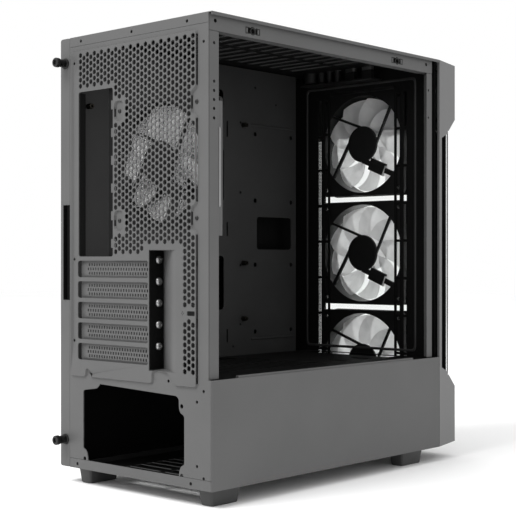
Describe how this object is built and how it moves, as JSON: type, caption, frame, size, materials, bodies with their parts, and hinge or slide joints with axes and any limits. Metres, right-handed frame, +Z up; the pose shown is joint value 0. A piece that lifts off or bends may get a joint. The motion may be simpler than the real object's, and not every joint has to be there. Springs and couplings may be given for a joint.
{
  "type": "desktop computer tower",
  "caption": "Open-sided computer tower case with glass-fronted fans, power supply bay, slot covers, hand screws and slide-off side panel.",
  "frame": {"origin": "on the floor under the middle of the whole tower, hand screws included", "axes": "+Z up, -Y towards the front panel, +Y towards the connectors at the rear, -X towards the open glass side, +X towards the steel side panel"},
  "size_m": [0.214, 0.4212, 0.445],
  "materials": {
    "painted_steel": "matt grey powder coat",
    "dark_steel": "matt black powder coat",
    "bezel_plastic": "fine moulded texture",
    "black_plastic": "satin black",
    "fan_frame": "moulded black",
    "fan_blade": "frosted translucent",
    "clear_glass": "clear tempered glass",
    "bright_screw": "nickel plated",
    "brass_standoff": "turned",
    "black_screw": "black zinc plated",
    "foot_plastic": "matt moulded",
    "filter_mesh": "woven mesh in a soft frame"
  },
  "bodies": {
    "chassis": {"rear_panel": "painted_steel", "slot_cover_1": "painted_steel", "slot_screw_1": "bright_screw", "slot_cover_2": "painted_steel", "slot_screw_2": "bright_screw", "slot_cover_3": "painted_steel", "slot_screw_3": "bright_screw", "slot_cover_4": "painted_steel", "slot_screw_4": "bright_screw", "slot_cover_5": "painted_steel", "slot_screw_5": "bright_screw", "roof_panel": "painted_steel", "floor_pan": "painted_steel", "shroud_lid": "dark_steel", "shroud_side_cover": "painted_steel", "rear_left_column": "painted_steel", "front_left_column": "painted_steel", "left_top_rail": "painted_steel", "panel_socket_rear": "black_plastic", "panel_socket_front": "black_plastic", "mainboard_tray": "dark_steel", "standoff_1": "brass_standoff", "standoff_2": "brass_standoff", "standoff_3": "brass_standoff", "standoff_4": "brass_standoff", "standoff_5": "brass_standoff", "standoff_6": "brass_standoff", "standoff_7": "brass_standoff", "standoff_8": "brass_standoff", "standoff_9": "brass_standoff", "front_steel_panel": "dark_steel", "front_fan_top_frame": "fan_frame", "front_fan_middle_frame": "fan_frame", "front_fan_bottom_frame": "fan_frame", "rear_fan_frame": "fan_frame", "front_bezel": "bezel_plastic", "front_glass": "clear_glass", "drive_cage": "dark_steel", "front_io_board": "black_plastic", "usb_socket_1": "bright_screw", "usb_socket_2": "bright_screw", "audio_jack_1": "black_plastic", "audio_jack_2": "black_plastic", "foot_rear_left": "foot_plastic", "foot_rear_right": "foot_plastic", "foot_front_left": "foot_plastic", "foot_front_right": "foot_plastic"},
    "front_fan_top_blades": {"front_fan_top_rotor": "fan_blade"},
    "front_fan_middle_blades": {"front_fan_middle_rotor": "fan_blade"},
    "front_fan_bottom_blades": {"front_fan_bottom_rotor": "fan_blade"},
    "rear_fan_blades": {"rear_fan_rotor": "fan_blade"},
    "side_panel": {"right_side_panel": "painted_steel"},
    "upper_screw_carrier": {"thumbscrew_upper_washer": "black_screw"},
    "upper_screw": {"thumbscrew_upper": "black_screw"},
    "lower_screw_carrier": {"thumbscrew_lower_washer": "black_screw"},
    "lower_screw": {"thumbscrew_lower": "black_screw"},
    "power_key": {"power_button": "black_plastic"},
    "reset_key": {"reset_button": "black_plastic"},
    "top_filter": {"top_dust_filter": "filter_mesh"},
    "bottom_filter": {"bottom_dust_filter": "filter_mesh"}
  },
  "joints": [
    {"name": "front_fan_top_spin", "type": "hinge", "parent": "chassis", "child": "front_fan_top_blades", "pos_m": [0, -0.1745, 0.3583], "axis": [0, 1, 0], "continuous": true},
    {"name": "front_fan_middle_spin", "type": "hinge", "parent": "chassis", "child": "front_fan_middle_blades", "pos_m": [0, -0.1745, 0.2313], "axis": [0, 1, 0], "continuous": true},
    {"name": "front_fan_bottom_spin", "type": "hinge", "parent": "chassis", "child": "front_fan_bottom_blades", "pos_m": [0, -0.1745, 0.1043], "axis": [0, 1, 0], "continuous": true},
    {"name": "rear_fan_spin", "type": "hinge", "parent": "chassis", "child": "rear_fan_blades", "pos_m": [-0.0354, 0.182, 0.3132], "axis": [0, 1, 0], "continuous": true},
    {"name": "side_panel_slide", "type": "slide", "parent": "chassis", "child": "side_panel", "axis": [0, 1, 0], "range_m": [0, 0.02]},
    {"name": "upper_screw_travel", "type": "slide", "parent": "side_panel", "child": "upper_screw_carrier", "axis": [0, 1, 0], "range_m": [0, 0.00317]},
    {"name": "upper_screw_turn", "type": "hinge", "parent": "upper_screw_carrier", "child": "upper_screw", "pos_m": [0.099, 0.2, 0.42], "axis": [0, 1, 0], "range_deg": [0, 1440]},
    {"name": "lower_screw_travel", "type": "slide", "parent": "side_panel", "child": "lower_screw_carrier", "axis": [0, 1, 0], "range_m": [0, 0.00317]},
    {"name": "lower_screw_turn", "type": "hinge", "parent": "lower_screw_carrier", "child": "lower_screw", "pos_m": [0.099, 0.2, 0.0433], "axis": [0, 1, 0], "range_deg": [0, 1440]},
    {"name": "power_press", "type": "slide", "parent": "chassis", "child": "power_key", "axis": [0, 0, -1], "range_m": [0, 0.0015], "stiffness_N_per_m": 800, "springref_m": -0.0008},
    {"name": "reset_press", "type": "slide", "parent": "chassis", "child": "reset_key", "axis": [0, 0, -1], "range_m": [0, 0.0015], "stiffness_N_per_m": 800, "springref_m": -0.0008},
    {"name": "top_filter_lift", "type": "slide", "parent": "chassis", "child": "top_filter", "axis": [0, 0, 1], "range_m": [0, 0.03]},
    {"name": "bottom_filter_slide", "type": "slide", "parent": "chassis", "child": "bottom_filter", "axis": [0, 1, 0], "range_m": [0, 0.13]}
  ],
  "couplings": [
    {"joint": "upper_screw_turn", "follows": "upper_screw_travel", "rad_per_m": 7913.3},
    {"joint": "lower_screw_turn", "follows": "lower_screw_travel", "rad_per_m": 7913.3}
  ]
}
